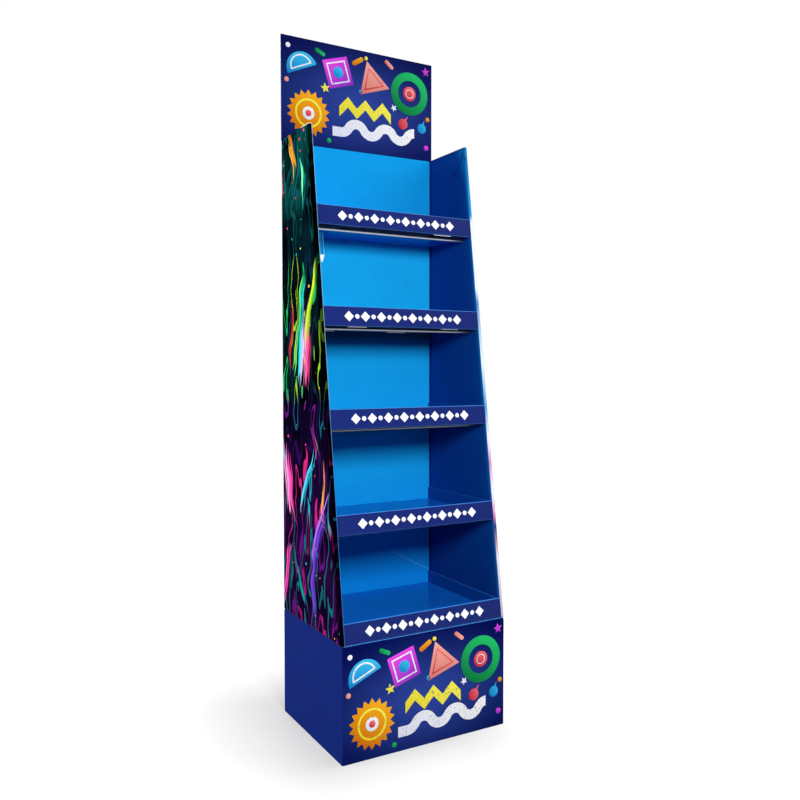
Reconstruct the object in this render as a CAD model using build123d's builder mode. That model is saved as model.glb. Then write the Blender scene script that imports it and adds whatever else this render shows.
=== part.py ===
"""Cardboard floor display stand: a base carton, a folded shelf body, five trays on steel bars and a header.

Frame: X runs across the stand, Y from front (-) to back (+), Z up from the floor, in millimetres.
The origin is on the floor, under the middle of the stand's bounding box.
"""

import math
import os

from build123d import *

# Corrugated board and how it folds and fits
board = 3.0  # thickness of one board
fold_radius = 2.5  # outer radius of a crease
fit = 0.4  # clearance on each side of pieces that slot together

# Overall sizes
stand_width = 434.0
base_depth = 336.0
base_height = 262.0
top_depth = 170.0  # depth of the side walls along their top edge
shelf_count = 5
shelf_pitch = 232.0
header_height = 258.0

# Base carton and the crossed ribs inside it
flap_seam = 1.5  # gap where the front and back top flaps meet
flap_slot = 2.5  # the flaps are cut this much short of the corners, so that they fold
side_flap = 166.0  # reach of the side flaps under the top ones
glue_flap = 36.0  # width of the maker's joint inside the back wall
glue_flap_inset = 24.0  # the joint stops this far from the floor and from the top
rib_offset = 74.0  # distance of the two deep ribs from the middle

# Double side walls of the body, and the tabs that lock them into the base
side_wall = 8.0  # over both boards and the gap between them
base_tab_width = 60.0
base_tab_length = 26.0
base_tab_corner = 8.0  # chamfer that leads a tab into its slot
base_tab_offset = 78.0  # distance of the tabs from the middle of the base

# Header card, its tongues and the folded pocket that holds them
pocket_height = 84.0
tongue_width = 92.0
tongue_length = 70.0
tongue_corner = 10.0
tongue_offset = 112.0

# Trays
lip_height = 46.0  # rolled front lip of two boards
lip_gap = 0.6  # between the two boards of the lip
lip_recess = 1.0  # how far the lip sits behind the front edges of the side walls
side_lip_drop = 3.0  # the side lips are this much lower than the front lip
floor_rise = 12.0  # top of the double floor above the underside of its tray
rear_tab_width = 56.0
rear_tab_offset = 104.0
lock_tab_width = 48.0
lock_tab_offset = 126.0
lock_tab_proud = 1.5  # lock tabs of the lip show this far below the floor of a raised tray

# Steel tubes under the raised trays
bar_diameter = 8.0
bar_wall = 1.0
bar_setback = 40.0  # axis of the tube behind the front edge

# Derived sizes
side_top = base_height + shelf_count * shelf_pitch
header_pocket = board + 2 * fit
overall_depth = base_depth + header_pocket + board
front_y = -overall_depth / 2
back_y = front_y + base_depth  # outer face of the back wall and of the back panel
pocket_back_y = overall_depth / 2
middle_y = front_y + base_depth / 2
side_fold = base_height - board  # top of the side flaps, under the front and back ones
wall_top = side_fold - board
half_width = stand_width / 2
lean = math.atan2(base_depth - top_depth, side_top - base_height)
board_run = board / math.cos(lean)  # a leaning board measured along Y
lip_gap_run = lip_gap / math.cos(lean)
lip_run = 2 * board_run + lip_gap_run
wall_inner_x = half_width - side_wall
tray_width = 2 * (wall_inner_x - fit)
tray_back_y = back_y - board - fit
bar_length = 2 * (half_width - board - fit)
floor_heights = [base_height + index * shelf_pitch for index in range(shelf_count)]


def front_edge_y(height):
    """Y of the sloping front edge of the side walls at a height."""
    return front_y + (height - base_height) * math.tan(lean)


def lip_board_y(height):
    """Y of the inside of a lip's outer board at a height."""
    return front_edge_y(height) + lip_recess + board_run


def bar_centre(floor_height):
    """(Y, Z) of the tube that carries a tray, just clear of its floor."""
    return front_edge_y(floor_height) + bar_setback, floor_height - fit - bar_diameter / 2


os.makedirs("parts", exist_ok=True)

# Base carton: four walls and four top flaps folded from one sheet, open below
with BuildPart() as base_plinth:
    with BuildSketch():
        with Locations((0, middle_y)):
            RectangleRounded(stand_width, base_depth, fold_radius)
            Rectangle(stand_width - 2 * board, base_depth - 2 * board, mode=Mode.SUBTRACT)
    extrude(amount=wall_top)
    # Side flaps, folded in first
    with BuildSketch(Plane.XZ.offset(-middle_y)) as side_flaps:
        with Locations((0, side_fold)):
            Rectangle(stand_width, board, align=(Align.CENTER, Align.MAX))
        fillet(side_flaps.vertices().group_by(Axis.Y)[-1], fold_radius)
        with Locations((0, side_fold)):
            Rectangle(stand_width - 2 * side_flap, 2 * board, mode=Mode.SUBTRACT)
    extrude(amount=base_depth / 2 - flap_slot, both=True)
    # Front and back flaps, folded over them until they meet
    with BuildSketch(Plane.YZ) as main_flaps:
        with Locations((middle_y, base_height)):
            Rectangle(base_depth, 2 * board, align=(Align.CENTER, Align.MAX))
        fillet(main_flaps.vertices().group_by(Axis.Y)[-1], fold_radius)
        with Locations((middle_y, side_fold)):
            Rectangle(base_depth - 2 * board, board, align=(Align.CENTER, Align.MAX), mode=Mode.SUBTRACT)
            Rectangle(flap_seam, 2 * board, mode=Mode.SUBTRACT)
    extrude(amount=half_width - flap_slot, both=True)
    # Maker's joint: a flap of the side wall, glued to the inside of the back wall
    with BuildSketch(Plane.XY.offset(glue_flap_inset)):
        with Locations((half_width - board, back_y - board)):
            Rectangle(glue_flap, board, align=(Align.MAX, Align.MAX))
    extrude(amount=base_height - 2 * glue_flap_inset)
    # Slots through both layers of flaps for the tabs of the body
    with BuildSketch(Plane.XY.offset(base_height)):
        with Locations((0, middle_y)):
            with GridLocations(2 * (wall_inner_x + board / 2), 2 * base_tab_offset, 2, 2):
                Rectangle(board + 2 * fit, base_tab_width + 2 * fit)
    extrude(amount=-2 * board, mode=Mode.SUBTRACT)
base_plinth.part.label = "base_plinth"
export_step(base_plinth.part, "parts/base_plinth.step")

# Crossed ribs that stand inside the base and carry its top, slotted half into each other
rib_height = wall_top - fit
rib_slot = board + 2 * fit
with BuildPart() as base_rib_across:
    with BuildSketch(Plane.XZ.offset(-middle_y - board / 2)):
        with Locations((0, rib_height / 2)):
            Rectangle(stand_width - 2 * board - 2 * fit, rib_height)
        with Locations((-rib_offset, rib_height), (rib_offset, rib_height)):
            Rectangle(rib_slot, rib_height + 2 * fit, mode=Mode.SUBTRACT)
    extrude(amount=board)
base_rib_across.part.label = "base_rib_across"
export_step(base_rib_across.part, "parts/base_rib_across.step")

for side_name, rib_x in (("left", -rib_offset), ("right", rib_offset)):
    with BuildPart() as base_rib:
        with BuildSketch(Plane.YZ.offset(rib_x - board / 2)):
            with Locations((middle_y, rib_height / 2)):
                Rectangle(base_depth - 2 * board - 2 * fit, rib_height)
            with Locations((middle_y, 0)):
                Rectangle(rib_slot, rib_height + 2 * fit, mode=Mode.SUBTRACT)
        extrude(amount=board)
    base_rib.part.label = f"base_rib_{side_name}"
    export_step(base_rib.part, f"parts/base_rib_{side_name}.step")

# Shelf body: back panel and two double side walls folded from one sheet
with BuildPart() as body_wrap:
    with BuildSketch(Plane.YZ.offset(wall_inner_x)):
        with BuildLine():
            Polyline(
                (back_y, base_height),
                (front_y, base_height),
                (front_edge_y(side_top), side_top),
                (back_y, side_top),
                close=True,
            )
        make_face()
    extrude(amount=side_wall)
    front_folds = body_wrap.faces().sort_by(Axis.Y)[0].edges().filter_by(Axis.X, reverse=True)
    fillet(front_folds, fold_radius)
    # The gap between the two boards, closed in front by the fold and behind by the back panel
    with BuildSketch(Plane.YZ.offset(wall_inner_x + board)):
        with BuildLine():
            Polyline(
                (back_y - board, base_height),
                (front_y + board_run, base_height),
                (front_edge_y(side_top) + board_run, side_top),
                (back_y - board, side_top),
                close=True,
            )
        make_face()
    extrude(amount=side_wall - 2 * board, mode=Mode.SUBTRACT)
    # Holes in the inner board for the tubes
    with BuildSketch(Plane.YZ.offset(wall_inner_x)):
        with Locations([bar_centre(height) for height in floor_heights[1:]]):
            Circle(bar_diameter / 2 + fit)
    extrude(amount=board, mode=Mode.SUBTRACT)
    # Tabs of the inner board that lock into the base
    with BuildSketch(Plane.YZ.offset(wall_inner_x)) as base_tab:
        with Locations((middle_y, base_height - base_tab_length / 2)):
            with GridLocations(2 * base_tab_offset, 0, 2, 1):
                Rectangle(base_tab_width, base_tab_length)
        chamfer(base_tab.vertices().group_by(Axis.Y)[0], base_tab_corner)
    extrude(amount=board)
    mirror(about=Plane.YZ)
    with BuildSketch(Plane.XY.offset(base_height)):
        with Locations((0, back_y - board / 2)):
            Rectangle(stand_width, board)
    extrude(amount=side_top - base_height)
    back_folds = body_wrap.edges().filter_by(Axis.Z).group_by(Axis.Y)[-1]
    fillet(back_folds, fold_radius)
    # The top of the back panel folds over behind it and makes the header's pocket
    with BuildSketch(Plane.YZ) as pocket_section:
        with BuildLine():
            Polyline(
                (back_y - board, side_top),
                (pocket_back_y, side_top),
                (pocket_back_y, side_top - pocket_height),
                (pocket_back_y - board, side_top - pocket_height),
                (pocket_back_y - board, side_top - board),
                (back_y - board, side_top - board),
                close=True,
            )
        make_face()
        fillet(pocket_section.vertices().group_by(Axis.X)[-1].sort_by(Axis.Y)[-1], fold_radius)
    extrude(amount=wall_inner_x, both=True)
    top_edges = body_wrap.edges().filter_by(Axis.X).group_by(Axis.Z)[-1]
    fillet(top_edges.group_by(SortBy.LENGTH)[-1].sort_by(Axis.Y)[0], fold_radius)
    # Slots in the fold for the tongues of the header
    with BuildSketch(Plane.XY.offset(side_top)):
        with Locations((0, back_y + header_pocket / 2)):
            with GridLocations(2 * tongue_offset, 0, 2, 1):
                Rectangle(tongue_width + 2 * fit, header_pocket)
    extrude(amount=-board, mode=Mode.SUBTRACT)
    # Slots for the rear tabs of the raised trays
    with BuildSketch(Plane.XZ.offset(-back_y)):
        with Locations([(0, height + board / 2) for height in floor_heights[1:]]):
            with GridLocations(2 * rear_tab_offset, 0, 2, 1):
                Rectangle(rear_tab_width + 2 * fit, board + 2 * fit)
    extrude(amount=board, mode=Mode.SUBTRACT)
body_wrap.part.label = "body_wrap"
export_step(body_wrap.part, "parts/body_wrap.step")

# Header card, standing on the fold of the back panel with two tongues in the pocket
with BuildPart() as header_card:
    with BuildSketch(Plane.XZ.offset(-back_y - fit - board)) as header_outline:
        with Locations((0, side_top - tongue_length / 2)):
            with GridLocations(2 * tongue_offset, 0, 2, 1):
                Rectangle(tongue_width, tongue_length)
        chamfer(header_outline.vertices().group_by(Axis.Y)[0], tongue_corner)
        with Locations((0, side_top + header_height / 2)):
            Rectangle(stand_width, header_height)
    extrude(amount=board)
header_card.part.label = "header_card"
export_step(header_card.part, "parts/header_card.step")

# Trays: double floor, side lips and rolled front lip of one sheet, each as deep as the body at its height
for tray_number, floor_height in enumerate(floor_heights, start=1):
    raised = tray_number > 1
    lip_top = floor_height + lip_height
    lip_foot_y = front_edge_y(floor_height) + lip_recess
    lip_top_y = front_edge_y(lip_top) + lip_recess
    with BuildPart() as shelf_tray:
        with BuildSketch(Plane.XZ.offset(-tray_back_y)) as tray_section:
            with Locations((0, floor_height + (lip_height - side_lip_drop) / 2)):
                Rectangle(tray_width, lip_height - side_lip_drop)
            fillet(tray_section.vertices().group_by(Axis.Y)[0], fold_radius)
            with Locations((0, floor_height + board + lip_height / 2)):
                Rectangle(tray_width - 2 * board, lip_height, mode=Mode.SUBTRACT)
        extrude(amount=tray_back_y - lip_foot_y)
        # Everything in front of the lip's outer board is cut away along the slope
        with BuildSketch(Plane.YZ):
            with BuildLine():
                Polyline(
                    (lip_foot_y, floor_height),
                    (lip_foot_y + board_run, floor_height),
                    (lip_top_y + board_run, lip_top),
                    (lip_foot_y, lip_top),
                    close=True,
                )
            make_face()
        extrude(amount=tray_width, both=True, mode=Mode.SUBTRACT)
        with BuildSketch(Plane.YZ) as lip_section:
            with BuildLine():
                Polyline(
                    (lip_foot_y, floor_height),
                    (lip_foot_y + lip_run, floor_height),
                    (lip_top_y + lip_run, lip_top),
                    (lip_top_y, lip_top),
                    close=True,
                )
            make_face()
            fillet(lip_section.vertices().group_by(Axis.Y)[0].sort_by(Axis.X)[0], fold_radius)
            fillet(lip_section.vertices().group_by(Axis.Y)[-1], fold_radius)
        extrude(amount=tray_width / 2, both=True)
        # The gap between the lip's two boards, from the floor up to the fold at its top
        gap_foot, gap_top = floor_height + board, lip_top - board
        with BuildSketch(Plane.YZ):
            with BuildLine():
                Polyline(
                    (lip_board_y(gap_foot), gap_foot),
                    (lip_board_y(gap_foot) + lip_gap_run, gap_foot),
                    (lip_board_y(gap_top) + lip_gap_run, gap_top),
                    (lip_board_y(gap_top), gap_top),
                    close=True,
                )
            make_face()
        extrude(amount=tray_width / 2, both=True, mode=Mode.SUBTRACT)
        # Double floor: the rear of the sheet folds up and forward, and its end folds down behind the lip
        floor_top = floor_height + floor_rise
        double_floor_depth = tray_back_y - (front_edge_y(floor_top) + lip_recess + lip_run + fit)
        with BuildSketch(Plane.YZ) as double_floor:
            with Locations((tray_back_y, floor_top)):
                Rectangle(double_floor_depth, floor_rise - board, align=(Align.MAX, Align.MAX))
            fillet(double_floor.vertices().group_by(Axis.Y)[-1], fold_radius)
            with Locations((tray_back_y - board, floor_top - board)):
                Rectangle(
                    double_floor_depth - 2 * board,
                    floor_rise - 2 * board,
                    align=(Align.MAX, Align.MAX),
                    mode=Mode.SUBTRACT,
                )
        extrude(amount=tray_width / 2 - board - fit, both=True)
        if raised:
            # Lock tabs of the lip, pushed down through the floor
            with BuildSketch(Plane.XY.offset(floor_height)):
                with Locations((0, lip_foot_y + lip_run - board / 2)):
                    with GridLocations(2 * lock_tab_offset, 0, 2, 1):
                        Rectangle(lock_tab_width, board)
            extrude(amount=-lock_tab_proud)
            # Rear tabs that rest in the slots of the back panel
            with BuildSketch(Plane.XY.offset(floor_height)):
                with Locations((0, (tray_back_y + back_y) / 2)):
                    with GridLocations(2 * rear_tab_offset, 0, 2, 1):
                        Rectangle(rear_tab_width, back_y - tray_back_y)
            extrude(amount=board)
    shelf_tray.part.label = f"shelf_tray_{tray_number}"
    export_step(shelf_tray.part, f"parts/shelf_tray_{tray_number}.step")

    if raised:
        with BuildPart() as support_bar:
            with BuildSketch(Plane.YZ):
                with Locations(bar_centre(floor_height)):
                    Circle(bar_diameter / 2)
                    Circle(bar_diameter / 2 - bar_wall, mode=Mode.SUBTRACT)
            extrude(amount=bar_length / 2, both=True)
        support_bar.part.label = f"support_bar_{tray_number}"
        export_step(support_bar.part, f"parts/support_bar_{tray_number}.step")
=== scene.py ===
"""Looks of a folded cardboard display stand: printed board, ink shapes, zinc tubes, a floor and a camera."""

import math
from collections import namedtuple
from functools import partial
from types import SimpleNamespace

import bpy
from bpy.props import FloatProperty, FloatVectorProperty, PointerProperty
from mathutils import Matrix, Vector


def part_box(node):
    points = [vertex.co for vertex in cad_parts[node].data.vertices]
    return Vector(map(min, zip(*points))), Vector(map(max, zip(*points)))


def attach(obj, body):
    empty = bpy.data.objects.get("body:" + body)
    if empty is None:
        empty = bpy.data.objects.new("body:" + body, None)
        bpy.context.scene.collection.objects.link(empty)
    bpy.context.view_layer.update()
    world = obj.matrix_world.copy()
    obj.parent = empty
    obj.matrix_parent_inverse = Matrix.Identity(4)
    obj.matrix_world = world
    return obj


bl_info = {
    "name": "Printed Display Stand",
    "version": (1, 0, 0),
    "blender": (4, 5, 0),
    "location": "View3D > Sidebar > Display Stand",
    "description": "Finishes a folded cardboard display stand and sets it on a studio floor",
    "category": "Object",
}

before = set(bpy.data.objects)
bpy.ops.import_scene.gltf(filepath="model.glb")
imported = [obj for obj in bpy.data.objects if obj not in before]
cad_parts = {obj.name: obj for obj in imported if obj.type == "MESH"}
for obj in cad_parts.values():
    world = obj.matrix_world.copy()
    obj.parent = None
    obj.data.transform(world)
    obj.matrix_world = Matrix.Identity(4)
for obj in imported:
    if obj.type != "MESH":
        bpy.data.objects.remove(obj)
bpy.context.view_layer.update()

MM = 0.001
BODY = "root"

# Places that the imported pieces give
base_low, base_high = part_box("base_plinth")
body_low, body_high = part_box("body_wrap")
header_low, header_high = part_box("header_card")
tray_names = sorted(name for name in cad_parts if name.startswith("shelf_tray"))
bar_names = sorted(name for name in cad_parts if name.startswith("support_bar"))
rib_names = sorted(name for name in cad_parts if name.startswith("base_rib"))
tray_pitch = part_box(tray_names[1])[1].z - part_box(tray_names[0])[1].z
tray_half_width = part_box(tray_names[0])[1].x
tray_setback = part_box(tray_names[-1])[0].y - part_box(tray_names[0])[0].y
front_slope = tray_setback / (tray_pitch * (len(tray_names) - 1))
tray_fit = 0.4 * MM
wall_inner = tray_half_width + tray_fit

# Heights of the two upper trays in mm
top_tray = (body_high.z - tray_pitch) / MM
fourth_tray = top_tray - tray_pitch / MM

# Usual span of a noise texture's values
NOISE_SPAN = (0.3, 0.7)


def linear(hex_colour):
    """Linear RGBA of an sRGB hex colour."""
    channels = [int(hex_colour[i:i + 2], 16) / 255 for i in (1, 3, 5)]
    return (*(c / 12.92 if c <= 0.04045 else ((c + 0.055) / 1.055) ** 2.4 for c in channels), 1.0)


def length(label, description, metres):
    """A length for the sidebar."""
    return FloatProperty(name=label, description=description, unit="LENGTH", default=metres)


def tint(label, description, hex_colour):
    """A colour for the sidebar."""
    return FloatVectorProperty(name=label, description=description, subtype="COLOR", size=4,
                               default=linear(hex_colour))


def power(label, light, watts):
    """The power of a light for the sidebar."""
    return FloatProperty(name=label, description=f"Power of the {light}, in watts", default=watts)


class StandSizes(bpy.types.PropertyGroup):
    """Sizes of the board and of its print."""

    board: length("Board", "Thickness of one board", header_high.y - header_low.y)
    liner: length("Liner", "Thickness of the paper on each face of the board", 0.4 * MM)
    flute: length("Flute pitch", "Length of one wave of the corrugated core", 6.4 * MM)
    ink_film: length("Ink film", "Thickness of a printed shape", 0.15 * MM)
    lip_mark: length("Lip mark", "Radius of the larger marks along a tray's lip", 12.0 * MM)
    lip_mark_pitch: length("Lip mark pitch", "Distance between marks along a lip", 21.0 * MM)


class StandColours(bpy.types.PropertyGroup):
    """Inks and papers of the stand."""

    navy: tint("Navy", "Plain sides of the base, and the tray lips", "#12246b")
    vignette_heart: tint("Vignette middle", "Middle of the header and base front", "#2b4298")
    # Also the colour of painted shade: at the foot, inner corner, top and creases of the inner walls, and on
    # the torn flap
    vignette_corner_and_shade: tint("Vignette corner", "Corners of the header and base front", "#050f51")
    panel: tint("Sky blue", "Back panel behind the trays", "#18b5f5")
    # Painted shade: this deeper blue darkens the back panel low down and in the top bay
    panel_shade: tint("Deep sky blue", "Foot and top of the back panel", "#0b8ae2")
    # Partly the walls' own ink and partly painted shade: darker than the panel for the shade the walls stand
    # in
    inner_side: tint("Royal blue", "Inside of the side walls", "#08459a")
    tray: tint("Tray blue", "Floors and inner lips of the trays", "#0d6bd4")
    under_lip: tint("Under the lip", "Undersides of the trays, and the shade below them", "#040a30")
    paper: tint("White paper", "Bare liner at cut edges and cracked folds", "#e9ecf0")
    hollow: tint("Flute shade", "Shaded hollows between the flutes", "#7f828c")
    kraft: tint("Kraft", "Unprinted brown liner inside the base", "#b98a5c")
    rubbed: tint("Rubbed blue", "Ink worn thin along a fold", "#4592e4")
    scuffed: tint("Scuffed blue", "Ink worn nearly through along a fold", "#8fcdf6")
    zinc: tint("Zinc", "Plated steel tubes", "#b4b9c2")


class StandStage(bpy.types.PropertyGroup):
    """Light and camera."""

    key_power: power("Key", "soft light in front", 33.5)
    fill_power: power("Fill", "soft light at the left", 122.0)
    side_power: power("Side", "soft light at the right", 78.0)
    back_power: power("Back", "soft light behind", 42.0)
    top_power: power("Top", "wide light overhead", 22.0)
    ambient: FloatProperty(name="Ambient", description="Strength of the light from all round", default=0.02)
    lens: FloatProperty(name="Lens", description="Focal length on a 36 mm sensor", default=36.94)
    eye: FloatVectorProperty(name="Eye", description="Place of the camera", subtype="TRANSLATION",
                             default=(-0.9746, -1.7505, 0.8651))
    heading: FloatProperty(name="Heading", description="Turn of the camera to the right", subtype="ANGLE",
                           default=math.radians(29.722))
    droop: FloatProperty(name="Droop", description="Tilt of the camera below the horizon", subtype="ANGLE",
                         default=math.radians(2.282))


def add_node(tree, kind, inputs=(), stops=(), **settings):
    """Adds a node, fills or links its open inputs by name or in order, and returns its first open output.

    The kind may name an operation after a space. Every mix is one of colours.
    """
    kind, _, operation = kind.partition(" ")
    if operation:
        settings["operation"] = operation
    if kind == "Mix":
        settings["data_type"] = "RGBA"
    made = tree.nodes.new("ShaderNode" + kind)
    for name, value in settings.items():
        setattr(made, name, value)
    sockets = [socket for socket in made.inputs if socket.enabled]
    by_name = {socket.name: socket for socket in reversed(sockets)}
    for key, value in inputs.items() if isinstance(inputs, dict) else enumerate(inputs):
        socket = by_name[key] if isinstance(key, str) else sockets[key]
        if isinstance(value, bpy.types.NodeSocket):
            tree.links.new(value, socket)
        else:
            socket.default_value = value
    for index, (position, colour) in enumerate(stops):
        ramp = made.color_ramp.elements
        stop = ramp[index] if index < len(ramp) else ramp.new(position)
        stop.position, stop.color = position, colour
    return next((socket for socket in made.outputs if socket.enabled), None)


def start_nodes(owner):
    """Empties the node tree of a material or world, and returns the call that adds a node to it."""
    owner.use_nodes = True
    owner.node_tree.nodes.clear()
    return partial(add_node, owner.node_tree)


def start_material(name):
    """A new material, and the call that adds a node to it."""
    material = bpy.data.materials.new(name)
    return material, start_nodes(material)


def even_stops(inks, gaps):
    """Stops of a colour ramp, evenly spaced over a number of gaps."""
    return [(index / gaps, linear(shade)) for index, shade in enumerate(inks)]


def locate(node):
    """Where a point lies on the stand and behind its sloping front, in mm, and which way its face looks."""
    coords = node("TexCoord").node.outputs
    mm = node("Mapping", {"Vector": coords["Object"], "Scale": (1 / MM,) * 3})
    x, y, z = node("SeparateXYZ", [mm]).node.outputs
    nx, ny, nz = node("SeparateXYZ", [coords["Normal"]]).node.outputs
    away = node("Math ABSOLUTE", [x])
    sideways = node("Math ABSOLUTE", [nx])
    upright = node("Math ABSOLUTE", [nz])
    front = (body_low.y - front_slope * base_high.z) / MM
    front = node("Math MULTIPLY_ADD", [z, front_slope, front])
    inset = node("Math SUBTRACT", [y, front])
    return SimpleNamespace(mm=mm, x=x, y=y, z=z, ny=ny, nz=nz, away=away, sideways=sideways, upright=upright,
                           inset=inset)


def fold_mask(node, place):
    """1 on the rounded folds, where a face looks along none of the axes."""
    depth = node("Math ABSOLUTE", [place.ny])
    largest = node("Math MAXIMUM", [place.sideways, depth])
    largest = node("Math MAXIMUM", [largest, place.upright])
    flat, rounded = 0.97, 0.86
    return node("MapRange", [largest, flat, rounded], interpolation_type="SMOOTHSTEP")


def height_in_bay(node, place, start=0.0):
    """Height in mm above the tray below, from a start that may lie under it."""
    level = node("Math SUBTRACT", [place.z, base_high.z / MM + start])
    return node("Math WRAP", [level, tray_pitch / MM, 0.0])


def flute_relief(node, place, strength, depth):
    """Washboard of the flutes under a liner, as a bump with a depth in mm."""
    flank = node("MapRange", [place.sideways, 0.4, 0.6])
    run = node("MapRange", [flank, 0.0, 1.0, place.x, place.y])
    turn = node("Math MULTIPLY", [run, math.tau * MM / bpy.context.scene.stand_sizes.flute])
    wave = node("Math SINE", [turn])
    return node("Bump", {"Strength": strength, "Distance": depth * MM, "Height": wave})


def crease_mask(node, across, up, start, end, half_width):
    """1 along a straight crease, from its start to its end, by places across and up the panel in mm."""
    start, end = Vector((*start, 0)), Vector((*end, 0))
    run = end - start
    spot = node("CombineXYZ", [across, up])
    reach = node("VectorMath SUBTRACT", [spot, start])
    along = node("VectorMath DOT_PRODUCT", [reach, run / run.length_squared])
    along = node("Math ADD", [along, 0.0], use_clamp=True)
    foot = node("VectorMath SCALE", [run, along])
    gap = node("VectorMath DISTANCE", [reach, foot])
    return node("MapRange", [gap, half_width, 0.0], interpolation_type="SMOOTHSTEP")


def cut_edge(node, along, across, across_start):
    """Colour of a cut board end: two paper liners, the waved core between them and shaded hollows."""
    sizes, colours = bpy.context.scene.stand_sizes, bpy.context.scene.stand_colours
    board, liner, flute = sizes.board / MM, sizes.liner / MM, sizes.flute / MM
    depth = node("Math SUBTRACT", [across, across_start])
    turn = node("Math MULTIPLY", [along, math.tau / flute])
    wave = node("Math SINE", [turn])
    crest = board / 2 - liner
    core = node("Math MULTIPLY_ADD", [wave, crest, board / 2])
    from_core = node("Math SUBTRACT", [depth, core])
    from_core = node("Math ABSOLUTE", [from_core])
    from_middle = node("Math SUBTRACT", [depth, board / 2])
    from_middle = node("Math ABSOLUTE", [from_middle])
    core_fade, liner_fade = 0.4 * liner, 0.3 * liner
    on_core = node("MapRange", [from_core, liner + core_fade, liner])
    on_liner = node("MapRange", [from_middle, crest - liner_fade, crest])
    paper = node("Math MAXIMUM", [on_core, on_liner])
    return node("Mix", [paper, colours.hollow, colours.paper])


def coated_board(name, print_colour, cut_of, roughness, gloss, wear, sound_folds=None, scuff=None, uneven=1.0,
                 floor_gloss=None):
    """Corrugated board with a matt-coated, offset-printed liner.

    The eye sees an even matt ink with slight clouds, a faint washboard where the flutes show through, a
    little bow over the length of a panel, a thin pale line where a fold has worn the ink, and bare cut edges.
    Less uneven board has fewer clouds and less relief, and a varnished floor mirrors what stands round it.
    """
    colours = bpy.context.scene.stand_colours
    material, node = start_material(name)
    place = locate(node)
    colour = print_colour(node, place)

    # The grain and the cracks are drawn coarser than they are, so that they show in the render
    cloud_size, grain_size, crack_size, bow_size = 55.0, 1.1, 2.6, 170.0
    clouds = node("TexNoise", {"Vector": place.mm, "Scale": 1 / cloud_size, "Detail": 3.0})
    density = node("MapRange", [clouds, *NOISE_SPAN, 1 - 0.07 * uneven, 1 + 0.05 * uneven])
    colour = node("Mix", [1.0, colour, density], blend_type="MULTIPLY")
    grain = node("TexNoise", {"Vector": place.mm, "Scale": 1 / grain_size, "Detail": 2.0})
    speck = node("MapRange", [grain, 0.25, 0.75, 0.97, 1.03])
    colour = node("Mix", [1.0, colour, speck], blend_type="MULTIPLY")

    fold = fold_mask(node, place)
    if sound_folds:
        fold = node("Math SUBTRACT", [fold, sound_folds(node, place)], use_clamp=True)
    rubbing = node("MapRange", [clouds, 0.35, 0.65, 0.7 * wear, wear])
    worn = node("Math MULTIPLY", [rubbing, fold])
    rubbed = scuff(node, place) if scuff else colours.rubbed
    colour = node("Mix", [worn, colour, rubbed])
    crumble = node("TexNoise", {"Vector": place.mm, "Scale": 1 / crack_size, "Detail": 3.0})
    cracked = node("MapRange", [crumble, 0.64, 0.7, 0.0, 0.4 * wear])
    cracked = node("Math MULTIPLY", [cracked, fold])
    colour = node("Mix", [cracked, colour, colours.paper])

    cut, cut_colour = cut_of(node, place)
    colour = node("Mix", [cut, colour, cut_colour])
    smoother, rougher, bare_rough = roughness - 0.05 * uneven, roughness + 0.08 * uneven, 0.9
    polish = node("MapRange", [clouds, *NOISE_SPAN, smoother, rougher])
    dullness = node("Math MAXIMUM", [cut, cracked])
    rough = node("MapRange", [dullness, 0.0, 1.0, polish, bare_rough])

    rib_depth, bow_depth, fibre_depth = 0.035, 2.2, 0.03
    ribs = flute_relief(node, place, 0.6 * uneven, rib_depth)
    bow = node("TexNoise", {"Vector": place.mm, "Scale": 1 / bow_size, "Detail": 1.0})
    bowed = node("Bump", {"Strength": uneven, "Distance": bow_depth * MM, "Height": bow, "Normal": ribs})
    fibres = node("Bump", {"Strength": 0.35 * uneven, "Distance": fibre_depth * MM, "Height": grain,
                           "Normal": bowed})
    surface = {"Base Color": colour, "Normal": fibres, "IOR": 1.5}
    shader = node("BsdfPrincipled", {**surface, "Roughness": rough, "Specular IOR Level": gloss})
    if floor_gloss:
        level = node("MapRange", [place.nz, 0.9, 0.98])
        level = node("Math SUBTRACT", [level, cut], use_clamp=True)
        varnished = node("BsdfPrincipled", {**surface, "Roughness": 0.12, "Specular IOR Level": floor_gloss})
        shader = node("MixShader", [level, shader, varnished])
    node("OutputMaterial", [shader])
    return material


def vignette(node, place, middle_z, half_width, half_height):
    """Navy that is lighter in the middle of a panel and nearly black in its corners."""
    colours = bpy.context.scene.stand_colours
    side_share, reach = 0.87, 1.36
    sideways = node("Math MULTIPLY", [place.x, side_share / half_width])
    height = node("Math SUBTRACT", [place.z, middle_z])
    height = node("Math DIVIDE", [height, half_height])
    spot = node("CombineXYZ", [sideways, height])
    away = node("VectorMath LENGTH", [spot])
    dimming = node("MapRange", [away, 0.0, reach], interpolation_type="SMOOTHSTEP")
    return node("Mix", [dimming, colours.vignette_heart, colours.vignette_corner_and_shade])


def header_colour(node, place):
    """Vignette on the front of the header, plain navy behind."""
    height, middle_share = (header_high.z - body_high.z) / MM, 0.45
    middle = body_high.z / MM + middle_share * height
    front = node("MapRange", [place.ny, -0.4, -0.6])
    shaded = vignette(node, place, middle, header_high.x / MM, height / 2)
    return node("Mix", [front, bpy.context.scene.stand_colours.navy, shaded])


def header_cut(node, place):
    """The header's four cut edges; its flutes stand upright."""
    edge = node("Math MAXIMUM", [place.upright, place.sideways])
    edge = node("MapRange", [edge, 0.6, 0.8])
    return edge, cut_edge(node, place.x, place.y, header_low.y / MM)


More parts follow.
